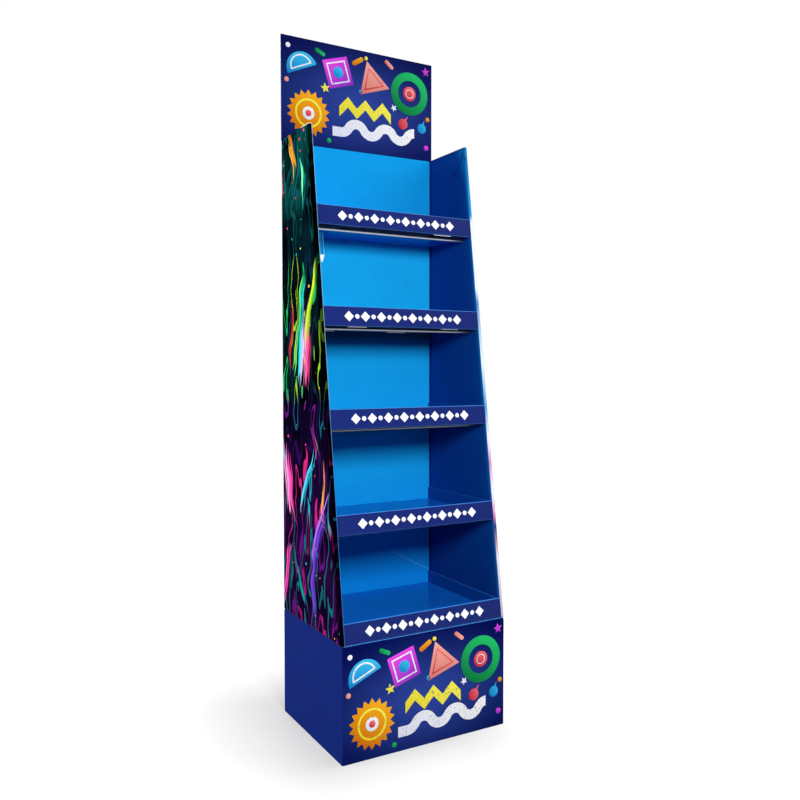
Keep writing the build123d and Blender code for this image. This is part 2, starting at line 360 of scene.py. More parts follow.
def base_colour(node, place):
    """Navy outside with a vignette in front, brown liner inside."""
    colours = bpy.context.scene.stand_colours
    board, skin, middle_share = bpy.context.scene.stand_sizes.board / MM, 0.6, 0.42
    low, high = base_low / MM, base_high / MM
    front = node("MapRange", [place.ny, -0.4, -0.6])
    shaded = vignette(node, place, middle_share * high.z, high.x, high.z / 2)
    printed = node("Mix", [front, colours.navy, shaded])
    inside = high.x - board
    outside = node("MapRange", [place.away, inside, inside + skin])
    for coordinate, face, way in ((place.y, low.y, -1), (place.y, high.y, 1), (place.z, high.z, 1)):
        inside = face - way * board
        beyond = node("MapRange", [coordinate, inside, inside + way * skin])
        outside = node("Math MAXIMUM", [outside, beyond])
    return node("Mix", [outside, colours.kraft, printed])


def base_cut(node, place):
    """The edges that the base stands on."""
    edge = node("MapRange", [place.nz, -0.6, -0.8])
    sole = 1.0
    low = node("MapRange", [place.z, 2 * sole, sole])
    edge = node("Math MULTIPLY", [edge, low])
    return edge, cut_edge(node, place.x, place.y, base_low.y / MM)


def sound_base_folds(node, place):
    """1 on the base's upright folds and on its side edges, which show no wear."""
    top, side, fold = base_high.z / MM, base_high.x / MM, 4.0
    low = node("MapRange", [place.z, top - fold, top - 1.5 * fold])
    flank = node("MapRange", [place.away, side - fold, side - 0.75 * fold])
    return node("Math MAXIMUM", [low, flank])


# Belts of the side print, from the top down: the height in mm at which each one starts, its two ground
# colours, and the inks of its fine flowing lines
Belt = namedtuple("Belt", "low ground shade inks")
SIDE_BELTS = (
    Belt(1230, "#02060a", "#06403c", ("#0f6a66", "#0c4a58", "#0b3f48")),
    Belt(1110, "#010307", "#031a22", ("#0a3a40", "#06202c", "#0c4a44")),
    Belt(800, "#020206", "#04181c", ("#1aa858", "#0a2a3c", "#8fc52c")),
    Belt(680, "#05020c", "#0c0626", ("#5a1a6c", "#1a0a3c", "#14506c")),
    Belt(520, "#0a0312", "#1c0834", ("#c22478", "#2a0a4c", "#1a9ab4")),
    Belt(0, "#0c031e", "#2c0a40", ("#5a1270", "#14606a", "#8a186a")),
)

# Brush strokes over them: inks from one flank to the other, depth of the middle of the stroke, its shift in
# depth for each mm of height, its sway, length of one sway and phase in degrees, half width, the heights
# between which it runs, and how far the bristles part, from 0 to 1; lengths in mm from the frame's origin
Stroke = namedtuple("Stroke", "inks middle slant sway wave phase half low high dryness")
SIDE_STROKES = (
    Stroke(("#03282c", "#0b6a66", "#02181c"), 96, -0.15, 14, 420, 200, 44, 1225, 1440, 0.4),
    Stroke(("#d9690f", "#ffb02a", "#ffe07a"), 118, 0.42, 12, 300, 40, 17, 1270, 1470, 0.1),
    Stroke(("#0a7a50", "#2ff0a0", "#c8ffe4"), 64, 0.34, 16, 380, 90, 16, 1235, 1395, 0.6),
    Stroke(("#f2447a", "#ff9ac0"), 150, -0.2, 10, 260, 10, 8, 1250, 1350, 0.5),
    Stroke(("#7a0f2c", "#ff3f8e", "#f7a8d8", "#27d3ea", "#1fd67a", "#c9f53a"), 44, -0.3, 22, 620, 120, 54,
           800, 1105, 0.8),
    Stroke(("#3f9a0c", "#d6fb3c"), -18, -0.34, 18, 520, 60, 11, 860, 1130, 0.3),
    Stroke(("#7a0f24", "#ff4a4c"), 122, 0.16, 16, 300, 150, 9, 850, 1090, 0.6),
    Stroke(("#9a0f66", "#ff5ab4", "#ffc0ea"), 112, 0.4, 20, 420, 20, 24, 470, 700, 0.7),
    Stroke(("#0d6f9a", "#4fe0ff"), 6, -0.36, 16, 360, 260, 10, 500, 700, 0.4),
    Stroke(("#c85a10", "#ffd06a"), -72, 0.3, 14, 300, 210, 9, 470, 720, 0.5),
    Stroke(("#2a0f5a", "#6a3fd0", "#c07af0"), -44, -0.38, 20, 380, 40, 22, 250, 590, 0.7),
    Stroke(("#0a4f67", "#1ab0a4"), 62, 0.25, 18, 300, 280, 10, 260, 470, 0.8),
    Stroke(("#8f1470", "#ff4fb8"), 128, -0.4, 12, 280, 300, 16, 240, 480, 0.6),
)
DROP_INKS = ("#19d38a", "#ff4f9e", "#ffc233", "#21c3ee", "#f04a3c", "#d9f23a")


def marbled_ground(node, flow, height):
    """Dark belts of the side print with clouds and fine flowing lines."""
    cloud_size, vein_width, vein_length = 150.0, 60.0, 330.0
    cloud = node("TexNoise", {"Vector": flow, "Scale": 1 / cloud_size, "Detail": 2.0})
    cloud = node("MapRange", [cloud, 0.4, 0.68])
    vein_at = node("Mapping", {"Vector": flow, "Scale": (1 / vein_width, 1 / vein_length, 1)})
    vein = node("TexNoise", {"Vector": vein_at, "Scale": 1.0, "Detail": 2.0})
    first_line, line_step, line_width, blend = 0.4, 0.09, 0.012, 20.0
    colour = None
    for belt in reversed(SIDE_BELTS):
        ground = node("Mix", [cloud, linear(belt.ground), linear(belt.shade)])
        for index, shade in enumerate(belt.inks):
            line = node("Math COMPARE", [vein, first_line + index * line_step, line_width])
            ground = node("Mix", [line, ground, linear(shade)])
        above = node("MapRange", [height, belt.low - blend, belt.low + blend])
        colour = node("Mix", [above, colour, ground]) if colour else ground
    return colour


def brush_stroke(node, place, depth, stroke, colour):
    """A dry brush stroke of the side print over the colour below it."""
    bristle, bristle_length, fray, end_fade = 7.0, 240.0, 130.0, 12.0
    turn = node("Math MULTIPLY_ADD", [place.z, math.tau / stroke.wave, math.radians(stroke.phase)])
    sine = node("Math SINE", [turn])
    start = stroke.middle - stroke.slant * (stroke.low + stroke.high) / 2
    middle = node("Math MULTIPLY_ADD", [place.z, stroke.slant, start])
    middle = node("Math MULTIPLY_ADD", [sine, stroke.sway, middle])
    off = node("Math SUBTRACT", [depth, middle])
    hair_at = node("CombineXYZ", [off, place.z, stroke.phase])
    hair_at = node("Mapping", {"Vector": hair_at, "Scale": (1 / bristle, 1 / bristle_length, 1)})
    hair = node("TexNoise", {"Vector": hair_at, "Scale": 1.0, "Detail": 2.0})
    reach = node("Math ABSOLUTE", [off])
    ragged = node("MapRange", [hair, *NOISE_SPAN, 0.6 * stroke.half, 1.1 * stroke.half])
    inside = node("Math SUBTRACT", [ragged, reach])
    cover = node("MapRange", [inside, 0.0, 1.0])
    parting, soft = 0.3 + 0.24 * stroke.dryness, 0.03
    hairs = node("MapRange", [hair, parting - soft, parting + soft])
    cover = node("Math MULTIPLY", [cover, hairs])
    frayed = node("MapRange", [hair, *NOISE_SPAN, fray, 0.0])
    for end, way in ((stroke.low, 1), (stroke.high, -1)):
        along = node("Math MULTIPLY_ADD", [place.z, way, -way * end])
        along = node("Math SUBTRACT", [along, frayed])
        run = node("MapRange", [along, 0.0, end_fade])
        cover = node("Math MULTIPLY", [cover, run])
    flank = node("MapRange", [off, -stroke.half, stroke.half])
    streak = node("Math MULTIPLY_ADD", [hair, 0.5, -0.25])
    streak = node("Math ADD", [flank, streak])
    inked = node("ValToRGB", [streak], even_stops(stroke.inks, len(stroke.inks) - 1))
    return node("Mix", [cover, colour, inked])


def ink_drops(node, spot, colour):
    """Scattered drops of the side print over the colour below them."""
    drop_pitch, largest, soft = 26.0, 0.16, 0.02
    cells = node("TexVoronoi", {"Vector": spot, "Scale": 1 / drop_pitch, "Randomness": 1.0}).node.outputs
    pick = node("SeparateXYZ", [cells["Color"]]).node.outputs
    radius = node("MapRange", [pick["X"], 0.35, 1.0, 0.0, largest])
    inside = node("Math SUBTRACT", [radius, cells["Distance"]])
    drop = node("MapRange", [inside, 0.0, soft])
    drop_ink = node("ValToRGB", [pick["Y"]], even_stops(DROP_INKS, len(DROP_INKS)))
    drop_ink.node.color_ramp.interpolation = "CONSTANT"
    return node("Mix", [drop, colour, drop_ink])


def side_print(node, place):
    """A generic marbled print: a dark ground with fine flowing lines, dry brush strokes and drops of ink."""
    swirl_size, swirl, hem_start, hem_end = 170.0, (90.0, 60.0, 0.0), 4.0, 30.0
    spot = node("CombineXYZ", [place.y, place.z])
    eddy = node("TexNoise", {"Vector": spot, "Scale": 1 / swirl_size, "Detail": 2.0}).node.outputs["Color"]
    drift = node("VectorMath SUBTRACT", [eddy, (0.5, 0.5, 0.5)])
    flow = node("VectorMath MULTIPLY_ADD", [drift, swirl, spot])
    depth, height = list(node("SeparateXYZ", [flow]).node.outputs)[:2]
    colour = marbled_ground(node, flow, height)
    for stroke in SIDE_STROKES:
        colour = brush_stroke(node, place, depth, stroke, colour)
    colour = ink_drops(node, spot, colour)
    hem = node("MapRange", [place.inset, hem_start, hem_end, 0.12, 1.0], interpolation_type="SMOOTHSTEP")
    return node("Mix", [1.0, colour, hem], blend_type="MULTIPLY")


# Tints along the front fold of the right side wall: height in mm and ink, from the base up
RIGHT_SPINE = (
    (262, "#c9b4c2"), (402, "#e6e2ee"), (448, "#b67c8c"), (478, "#1c3a86"), (506, "#e08cc0"),
    (560, "#f0f4fa"), (630, "#da8cc6"), (695, "#eef2fa"), (765, "#4898d0"), (880, "#dcf4fc"),
    (1028, "#5c8cc4"), (1060, "#e8f4fa"), (1230, "#eef2fb"), (1245, "#2c95d6"), (1420, "#1673b8"),
)

# Creases inside the right wall, drawn as lines of painted shade, by depth and height of their ends, and a
# scratch on the back panel, by distance from the middle and height, in mm
WALL_CREASES = (
    ((-1, 1413), (7, 1395)),
    ((7, 1395), (23, 1375)),
    ((23, 1375), (45, 1357)),
    ((-4, 1398), (-18, 1374)),
)
PANEL_SCRATCH = ((41, 399), (205, 310))


def outer_print(node, place):
    """Print outside the side walls: it runs round the left front fold, and the right fold is a pale band."""
    low, high = body_low.z / MM, body_high.z / MM
    share = node("MapRange", [place.z, low, high])
    band = node("ValToRGB", [share], [((height - low) / (high - low), linear(shade))
                                      for height, shade in RIGHT_SPINE])
    right = node("MapRange", [place.x, -1.0, 1.0])
    facing = node("MapRange", [place.ny, -0.3, -0.6])
    banded = node("Math MULTIPLY", [facing, right])
    rim_start, rim_full, rim_ends = 2.2, 1.2, (46.0, 30.0)
    rim = node("MapRange", [place.z, high - rim_start, high - rim_full])
    ahead = node("MapRange", [place.y, *rim_ends, 0.0, 0.9])
    rim = node("Math MULTIPLY", [rim, ahead])
    colour = node("Mix", [rim, side_print(node, place), bpy.context.scene.stand_colours.paper])
    return node("Mix", [banded, colour, band])


def inner_wall_colour(node, place):
    """Royal blue with a painted highlight along the front fold and painted shade at the foot, the inner
    corner and the top.
    """
    colours = bpy.context.scene.stand_colours
    top, panel_back = body_high.z / MM, base_high.y / MM
    # Painted highlight along the front fold near the top, and painted shade at the foot
    highlight_rise, highlight_low, highlight_high, highlight_full, foot_shade_fade = (1330.0, 1410.0), 14.0, 44.0, 2.0, (520.0, 300.0)
    reach = node("MapRange", [place.z, *highlight_rise, highlight_low, highlight_high])
    glow = node("MapRange", [place.inset, reach, highlight_full, 0.0, 0.28])
    foot = node("MapRange", [place.z, *foot_shade_fade, 0.0, 0.2])
    colour = node("Mix", [foot, colours.inner_side, colours.vignette_corner_and_shade])
    colour = node("Mix", [glow, colour, colours.panel])
    # Painted shade in the inner corner at the back and along the top
    shade, corner_start, corner_full, rim_start, rim_full = 0.6, 18.0, 6.0, 6.0, 2.0
    corner = node("MapRange", [place.y, panel_back - corner_start, panel_back - corner_full, 0.0, shade])
    rim = node("MapRange", [place.z, top - rim_start, top - rim_full, 0.0, shade])
    shaded = node("Math MAXIMUM", [corner, rim])
    return node("Mix", [shaded, colour, colours.vignette_corner_and_shade])


def back_panel_colour(node, place):
    """Sky blue with painted shade at its foot, its top and under the lower trays, a scratch and a navy edge.
    """
    colours = bpy.context.scene.stand_colours
    top, inner = body_high.z / MM, wall_inner / MM
    # Painted shade: a deeper blue below about 960 mm, growing towards the foot, and in the top bay
    low_fade, low_end, high_fade = (640.0, 330.0), (960.0, 900.0), (1180.0, 1240.0)
    low = node("MapRange", [place.z, *low_fade, 0.33, 1.0])
    below = node("MapRange", [place.z, *low_end])
    low = node("Math MULTIPLY", [low, below])
    high = node("MapRange", [place.z, *high_fade, 0.0, 0.47])
    foot_and_top_shade = node("Math MAXIMUM", [low, high])
    colour = node("Mix", [foot_and_top_shade, colours.panel, colours.panel_shade])
    scratch_half, scratch_full = 1.8, 110.0
    scratch = crease_mask(node, place.x, place.z, *PANEL_SCRATCH, scratch_half)
    faint = node("MapRange", [place.x, PANEL_SCRATCH[0][0], scratch_full, 0.0, 0.32])
    scratch = node("Math MULTIPLY", [scratch, faint])
    colour = node("Mix", [scratch, colour, colours.scuffed])
    strip_left, strip_right, soft = 4.4, 0.4, 0.2
    strip = node("MapRange", [place.x, -inner, inner, strip_left, strip_right])
    strip = node("Math ADD", [place.z, strip])
    strip = node("MapRange", [strip, top - soft, top + soft])
    colour = node("Mix", [strip, colour, colours.navy])
    # Painted shade: dark just under each tray in the three lower bays
    shade_rise = (184.0, 228.0)
    level = height_in_bay(node, place)
    shade_under_trays = node("MapRange", [level, *shade_rise, 0.0, 0.8], interpolation_type="SMOOTHSTEP")
    lower = node("MapRange", [place.z, fourth_tray + 4.0, fourth_tray + 2.0])
    shade_under_trays = node("Math MULTIPLY", [shade_under_trays, lower])
    return node("Mix", [shade_under_trays, colour, colours.under_lip])


def body_colour(node, place):
    """Side print outside, blue walls inside with creases of painted shade, sky-blue back panel and plain navy
    behind.
    """
    colours = bpy.context.scene.stand_colours
    skin, soft, behind_panel = wall_inner / MM + 0.15, 0.3, base_high.y / MM - 1.4
    outside = node("MapRange", [place.away, skin, skin + soft])
    facing = node("MapRange", [place.ny, -0.3, -0.6])
    behind = node("MapRange", [place.y, behind_panel, behind_panel + 0.8])
    wall = inner_wall_colour(node, place)
    panel = back_panel_colour(node, place)
    colour = node("Mix", [facing, wall, panel])
    # Painted shade: the creases of the right wall are drawn as dark lines
    crease_shade, crease_half = 0.0, 3.6
    for start, end in WALL_CREASES:
        crease = crease_mask(node, place.y, place.z, start, end, crease_half)
        crease_shade = node("Math MAXIMUM", [crease_shade, crease])
    right = node("MapRange", [place.x, 0.0, 1.0, 0.0, 0.85])
    crease_shade = node("Math MULTIPLY", [crease_shade, right])
    colour = node("Mix", [crease_shade, colour, colours.vignette_corner_and_shade])
    colour = node("Mix", [outside, colour, outer_print(node, place)])
    return node("Mix", [behind, colour, colours.navy])


def body_scuff(node, place):
    """Colour of the worn body folds: rubbed blue low down, and worn nearly through higher up."""
    colours = bpy.context.scene.stand_colours
    scuff_rise = (620.0, 900.0)
    high = node("MapRange", [place.z, *scuff_rise])
    return node("Mix", [high, colours.rubbed, colours.scuffed])


def sound_body_folds(node, place):
    """1 on the folds without wear: the outer left and inner right front folds, and the panel's top fold."""
    fold_radius, slack = 2.5, 0.3
    top_fold, rear_fold = body_high.z / MM - 6.0, base_high.y / MM - 12.0
    masks = [node("Math COMPARE", [place.x, start + fold_radius / 2, fold_radius / 2 + slack])
             for start in (body_low.x / MM, wall_inner / MM)]
    sound = node("Math MAXIMUM", masks)
    high = node("MapRange", [place.z, top_fold, top_fold + 1.0])
    rear = node("MapRange", [place.y, rear_fold, rear_fold + 2.0])
    high = node("Math MULTIPLY", [high, rear])
    return node("Math MAXIMUM", [sound, high])


def body_cut(node, place):
    """Top and bottom ends of the two boards of each side wall."""
    board, soft, panel_gap, wall_gap = bpy.context.scene.stand_sizes.board / MM, 0.2, 0.6, 0.4
    panel_front, wall_start = base_high.y / MM - board - panel_gap, wall_inner / MM - wall_gap
    edge = node("MapRange", [place.upright, 0.6, 0.8])
    ahead = node("MapRange", [place.y, panel_front, panel_front - soft])
    edge = node("Math MULTIPLY", [edge, ahead])
    in_wall = node("MapRange", [place.away, wall_start, wall_start + soft])
    edge = node("Math MULTIPLY", [edge, in_wall])
    return edge, cut_edge(node, place.y, place.away, body_high.x / MM - board)


def tray_colour(node, place):
    """Navy front of the lip, mid blue floor, royal blue side lips, and painted shade on the undersides below
    the top tray.
    """
    colours = bpy.context.scene.stand_colours
    facing = node("MapRange", [place.ny, -0.5, -0.8])
    flank = node("MapRange", [place.sideways, 0.5, 0.8])
    colour = node("Mix", [flank, colours.tray, colours.inner_side])
    # Painted shade: the undersides of the lower trays are darkened
    underside_shade_start, underside_shade_full = 90.0, 190.0
    beneath = node("MapRange", [place.nz, -0.6, -0.8])
    lower = node("MapRange", [place.z, top_tray - underside_shade_start, top_tray - underside_shade_full, 0.0, 0.85])
    dark = node("Math MULTIPLY", [beneath, lower])
    colour = node("Mix", [dark, colour, colours.under_lip])
    return node("Mix", [facing, colour, colours.navy])


def sound_tray_folds(node, place):
    """1 on the folds at the back and sides of a tray, which no hand rubs."""
    lip_start, lip_end = 5.0, 7.0
    return node("MapRange", [place.inset, lip_start, lip_end])


def tray_cut(node, place):
    """Inked top ends of the side lips, painted shade in a strip under the front, its lock tabs, and the rear
    tabs.
    """
    colours = bpy.context.scene.stand_colours
    lip_inner = (tray_half_width - bpy.context.scene.stand_sizes.board) / MM
    rear_tab, rear_soft, soft = base_high.y / MM - 4.0, 0.2, 0.1
    # Painted shade: a dark strip under the front of each tray, from the lip back to the tube
    below, front_shade_depth, front_shade_fade = 5.0, 40.0, 2.0
    end = node("MapRange", [place.nz, 0.6, 0.8])
    flank = node("MapRange", [place.away, lip_inner - soft, lip_inner + soft])
    end = node("Math MULTIPLY", [end, flank])
    level = height_in_bay(node, place, -below)
    tab = node("MapRange", [level, below - soft, below - 3 * soft])
    beneath = node("MapRange", [place.nz, -0.6, -0.8])
    ahead = node("MapRange", [place.inset, front_shade_depth, front_shade_depth - front_shade_fade])
    strip = node("Math MULTIPLY", [beneath, ahead])
    edge = node("Math MAXIMUM", [end, tab])
    edge = node("Math MAXIMUM", [edge, strip])
    rear = node("MapRange", [place.y, rear_tab - rear_soft, rear_tab + rear_soft])
    edge = node("Math MAXIMUM", [edge, rear])

    bare = cut_edge(node, place.y, place.away, lip_inner)
    inked = node("Mix", [0.95, bare, colours.tray])
    # Lock tab ends: half pale on the fourth tray and navy lower down; on the top tray white at the right and
    # painted shade at the left
    pale_start, pale_full, upper_start = fourth_tray - 18.0, fourth_tray - 8.0, top_tray - 40.0
    pale = node("MapRange", [place.z, pale_start, pale_full, 0.0, 0.5])
    tabs = node("Mix", [pale, colours.navy, colours.paper])
    upper = node("MapRange", [place.z, upper_start, top_tray])
    right = node("MapRange", [place.x, 0.0, 1.0])
    shown = node("Mix", [right, colours.under_lip, colours.paper])
    tabs = node("Mix", [upper, tabs, shown])
    inked = node("Mix", [strip, inked, colours.under_lip])
    inked = node("Mix", [tab, inked, tabs])
    return edge, node("Mix", [rear, inked, colours.navy])


def torn_liner():
    """Torn paper liner: a strip still blue, with a crease of painted shade, painted shadow at its top, a
    rubbed edge and a ragged white tip.
    """
    colours = bpy.context.scene.stand_colours
    material, node = start_material("torn_paper_liner")
    place = locate(node)
    tear, ragged, fibre_size, tray_shadow_fade = 1118.0, 7.0, 4.0, (1128.0, 1150.0)
    fibres = node("TexNoise", {"Vector": place.mm, "Scale": 1 / fibre_size, "Detail": 3.0})
    level = node("Math MULTIPLY_ADD", [fibres, ragged, tear - ragged / 2])
    above = node("Math SUBTRACT", [place.z, level])
    bare = node("MapRange", [above, 0.5, 0.0])
    fold, width = -wall_inner / MM, 11.0
    rubbed = node("MapRange", [place.x, fold + 0.7 * width, fold + 0.85 * width, 0.0, 0.5])
    # Painted shade along the crease
    crease = node("Math COMPARE", [place.x, fold + 0.55 * width, 0.12 * width])
    crease = node("Math MULTIPLY", [crease, 0.6])
    # Painted shadow: the flap darkens towards its top, under the tray
    dimming = node("MapRange", [place.z, *tray_shadow_fade, 0.0, 0.65])
    colour = node("Mix", [0.45, colours.inner_side, colours.panel])
    colour = node("Mix", [rubbed, colour, colours.scuffed])
    colour = node("Mix", [crease, colour, colours.vignette_corner_and_shade])
    colour = node("Mix", [dimming, colour, colours.vignette_corner_and_shade])
    colour = node("Mix", [bare, colour, colours.paper])
    fuzz = node("Bump", {"Strength": 0.5, "Distance": 0.2 * MM, "Height": fibres})
    shader = node("BsdfPrincipled", {"Base Color": colour, "Roughness": 0.85, "Normal": fuzz,
                                     "Specular IOR Level": 0.02})
    node("OutputMaterial", [shader])
    return material


def zinc_tube():
    """Zinc-plated steel tube: a grey metal with fine draw lines and cloudy plating, and painted shade that
    darkens it lower down.
    """
    colours = bpy.context.scene.stand_colours
    material, node = start_material("zinc_plated_steel_tube")
    place = locate(node)
    # The draw lines are drawn coarser than they are, so that they show in the render
    draw_line, line_length, bloom_size, tube_shade_end = 0.5, 90.0, 14.0, 590.0
    lines_at = node("Mapping", {"Vector": place.mm, "Scale": (1 / line_length, 1 / draw_line, 1 / draw_line)})
    lines = node("TexNoise", {"Vector": lines_at, "Scale": 1.0, "Detail": 3.0})
    bloom = node("TexNoise", {"Vector": place.mm, "Scale": 1 / bloom_size, "Detail": 3.0})
    tone = node("MapRange", [bloom, *NOISE_SPAN, 0.86, 1.08])
    # Painted shade: the grey darkens from the top tube down, nearly to black at the lowest
    tube_shade = node("MapRange", [place.z, tube_shade_end, top_tray, 0.05, 1.0])
    tone = node("Math MULTIPLY", [tone, tube_shade])
    colour = node("Mix", [1.0, colours.zinc, tone], blend_type="MULTIPLY")
    rough = node("MapRange", [lines, *NOISE_SPAN, 0.24, 0.4])
    drawn = node("Bump", {"Strength": 0.3, "Distance": 0.01 * MM, "Height": lines})
    shader = node("BsdfPrincipled", {"Base Color": colour, "Metallic": 1.0, "Roughness": rough,
                                     "Normal": drawn})
    node("OutputMaterial", [shader])
    return material


def kraft_board():
    """Brown kraft board: unprinted, with dark and light fibres and a faint washboard."""
    colours = bpy.context.scene.stand_colours
    material, node = start_material("brown_kraft_board")
    place = locate(node)
    # The fibres are drawn coarser than they are, so that they show in the render
    fibre_width, fibre_length, cloud_size = 0.7, 6.0, 40.0
    grid = (1 / fibre_width, 1 / fibre_width, 1 / fibre_length)
    fibres_at = node("Mapping", {"Vector": place.mm, "Scale": grid})
    fibres = node("TexNoise", {"Vector": fibres_at, "Scale": 1.0, "Detail": 3.0})
    clouds = node("TexNoise", {"Vector": place.mm, "Scale": 1 / cloud_size, "Detail": 3.0})
    tone = node("MapRange", [fibres, 0.25, 0.75, 0.82, 1.12])
    patch = node("MapRange", [clouds, *NOISE_SPAN, 0.92, 1.06])
    colour = node("Mix", [1.0, colours.kraft, tone], blend_type="MULTIPLY")
    colour = node("Mix", [1.0, colour, patch], blend_type="MULTIPLY")
    depth = 0.05
    ribs = flute_relief(node, place, 0.6, depth)
    fuzz = node("Bump", {"Strength": 0.5, "Distance": depth * MM, "Height": fibres, "Normal": ribs})
    shader = node("BsdfPrincipled", {"Base Color": colour, "Roughness": 0.85, "Normal": fuzz,
                                     "Specular IOR Level": 0.3})
    node("OutputMaterial", [shader])
    return material


# Inks of the printed shapes: dark and light end of each one's blend
INKS = {
    "orange": ("#c9690c", "#ffb31f"),
    "yellow": ("#e9d927", "#fbf45a"),
    "white": ("#dfe4f4", "#ffffff"),
    "plain_white": ("#f6f8fd", "#ffffff"),
    "magenta": ("#8f2fc4", "#f24df2"),
    "salmon": ("#d9776f", "#fbb0a1"),
    "green": ("#0b7a3c", "#25c46c"),
    "red": ("#c52b3a", "#fb7076"),
    "cyan": ("#0f7fc8", "#3cc3f5"),
}
CHALKY = ("white", "yellow")


def ink_material(ink):
    """Offset ink on coated paper: a blend from a dark to a light tone, and chalky flecks in two pale inks."""
    dark, light = INKS[ink]
    material, node = start_material(f"offset_ink_{ink}")
    place = locate(node)
    tone = node("Attribute", attribute_name="tone").node.outputs["Fac"]
    colour = node("Mix", [tone, linear(dark), linear(light)])
    # The grain is drawn coarser than it is, so that it shows in the render
    grain_size, fleck_size = 1.4, 5.0
    grain = node("TexNoise", {"Vector": place.mm, "Scale": 1 / grain_size, "Detail": 2.0})
    density = node("MapRange", [grain, *NOISE_SPAN, 0.94, 1.04])
    colour = node("Mix", [1.0, colour, density], blend_type="MULTIPLY")
    if ink in CHALKY:
        flecks = node("TexNoise", {"Vector": place.mm, "Scale": 1 / fleck_size, "Detail": 6.0,
                                   "Roughness": 0.7})
        bare = node("MapRange", [flecks, 0.585, 0.63, 0.0, 0.75])
        colour = node("Mix", [bare, colour, bpy.context.scene.stand_colours.navy])
    rough = node("MapRange", [grain, *NOISE_SPAN, 0.36, 0.5])
    shader = node("BsdfPrincipled", {"Base Color": colour, "Roughness": rough, "IOR": 1.5,
                                     "Specular IOR Level": 0.02})
    node("OutputMaterial", [shader])
    return material


def ink(name):
    """The ink's material, made the first time that it is asked for."""
    return bpy.data.materials.get(f"offset_ink_{name}") or ink_material(name)


def start_piece(add, **settings):
    """Deselects everything, adds one object with the operator that is given, and returns it."""
    bpy.ops.object.select_all(action="DESELECT")
    add(**settings)
    return bpy.context.object


def pick_vertices(piece, test):
    """Leaves the piece in edit mode with only the vertices selected that pass the test."""
    bpy.ops.object.mode_set(mode="EDIT")
    bpy.ops.mesh.select_mode(type="VERT")
    bpy.ops.mesh.select_all(action="DESELECT")
    bpy.ops.object.mode_set(mode="OBJECT")
    for vertex in piece.data.vertices:
        vertex.select = test(vertex)
    bpy.ops.object.mode_set(mode="EDIT")


def round_shape(radius, sides=48, waist=1.0, hole=0.0, half=False, point=0.0, stretch=0.0):
    """A flat shape from one filled circle, pulled to a star, drop or pill, halved or opened to a ring."""
    piece = start_piece(bpy.ops.mesh.primitive_circle_add, vertices=sides, radius=radius, fill_type="NGON")
    if waist < 1:
        pick_vertices(piece, lambda vertex: vertex.index % 2)
        bpy.ops.transform.resize(value=(waist, waist, 1))
    if point:
        pick_vertices(piece, lambda vertex: vertex.co.y > 0.999 * radius)
        bpy.ops.transform.translate(value=(0, point * radius, 0))
    if stretch:
        pick_vertices(piece, lambda vertex: vertex.co.x > 0)
        bpy.ops.transform.translate(value=(stretch * radius, 0, 0))
        pick_vertices(piece, lambda vertex: True)
        bpy.ops.transform.translate(value=(-stretch * radius / 2, 0, 0))
    bpy.ops.object.mode_set(mode="EDIT")
    bpy.ops.mesh.select_all(action="SELECT")
    if half:
        bpy.ops.mesh.bisect(plane_co=(0, 0, 0), plane_no=(0, -1, 0), clear_outer=True)
        bpy.ops.mesh.select_all(action="SELECT")
    if hole:
        bpy.ops.mesh.inset(thickness=(1 - hole) * radius)
        bpy.ops.mesh.delete(type="FACE")
    return piece


def wave_ribbon(width, bend, swings, swing=math.radians(120), steps=10):
    """A wavy ribbon: the end of a short strip is spun to one side and the other in turn."""
    piece = start_piece(bpy.ops.mesh.primitive_plane_add, size=width)
    pick_vertices(piece, lambda vertex: vertex.co.x > 0)
    spot, heading = Vector((width / 2, 0, 0)), 0.0
    turns = [swing / 2] + [swing * (-1) ** (index + 1) for index in range(swings)]
    turns.append(-turns[-1] / 2)
    for turn in turns:
        side = math.copysign(1, turn)
        centre = spot + Vector((-math.sin(heading), math.cos(heading), 0)) * bend * side
        bpy.ops.mesh.spin(steps=steps, angle=-turn, center=centre, axis=(0, 0, 1))
        spot = centre + Matrix.Rotation(turn, 3, "Z") @ (spot - centre)
        heading += turn
    return piece


def zigzag_ribbon(width, stride, rise, strides):
    """A zigzag ribbon: the end of a narrow strip is drawn out up and down in turn."""
    piece = start_piece(bpy.ops.mesh.primitive_plane_add, size=width)
    pick_vertices(piece, lambda vertex: vertex.co.x < 0)
    bpy.ops.transform.translate(value=(width, 0, 0))
    bpy.ops.mesh.select_all(action="SELECT")
    bpy.ops.mesh.remove_doubles(threshold=width / 100)
    bpy.ops.mesh.select_all(action="SELECT")
    for index in range(strides):
        step = (stride, rise * (-1) ** index, 0)
        bpy.ops.mesh.extrude_region_move(TRANSFORM_OT_translate={"value": step})
    return piece


def thicken(piece, thickness):
    """Draws a flat shape out to a closed sheet."""
    bpy.ops.object.mode_set(mode="EDIT")
    bpy.ops.mesh.select_all(action="SELECT")
    bpy.ops.mesh.remove_doubles(threshold=thickness / 10)
    bpy.ops.mesh.normals_make_consistent(inside=False)
    bpy.ops.mesh.extrude_region_move(TRANSFORM_OT_translate={"value": (0, 0, thickness)})
    bpy.ops.mesh.select_all(action="SELECT")
    bpy.ops.mesh.normals_make_consistent(inside=False)
    bpy.ops.object.mode_set(mode="OBJECT")


def print_film(piece, name):
    """Gives a flat shape the ink's thickness, its own blend from one corner to the other, and its colour."""
    thicken(piece, bpy.context.scene.stand_sizes.ink_film)
    slant = Vector((0.5, 0.87, 0))
    along = [vertex.co.dot(slant) for vertex in piece.data.vertices]
    low, span = min(along), max(along) - min(along)
    tone = piece.data.attributes.new("tone", "FLOAT", "POINT")
    for index, reach in enumerate(along):
        tone.data[index].value = (reach - low) / span
    piece.data.materials.append(ink(name))
    return piece


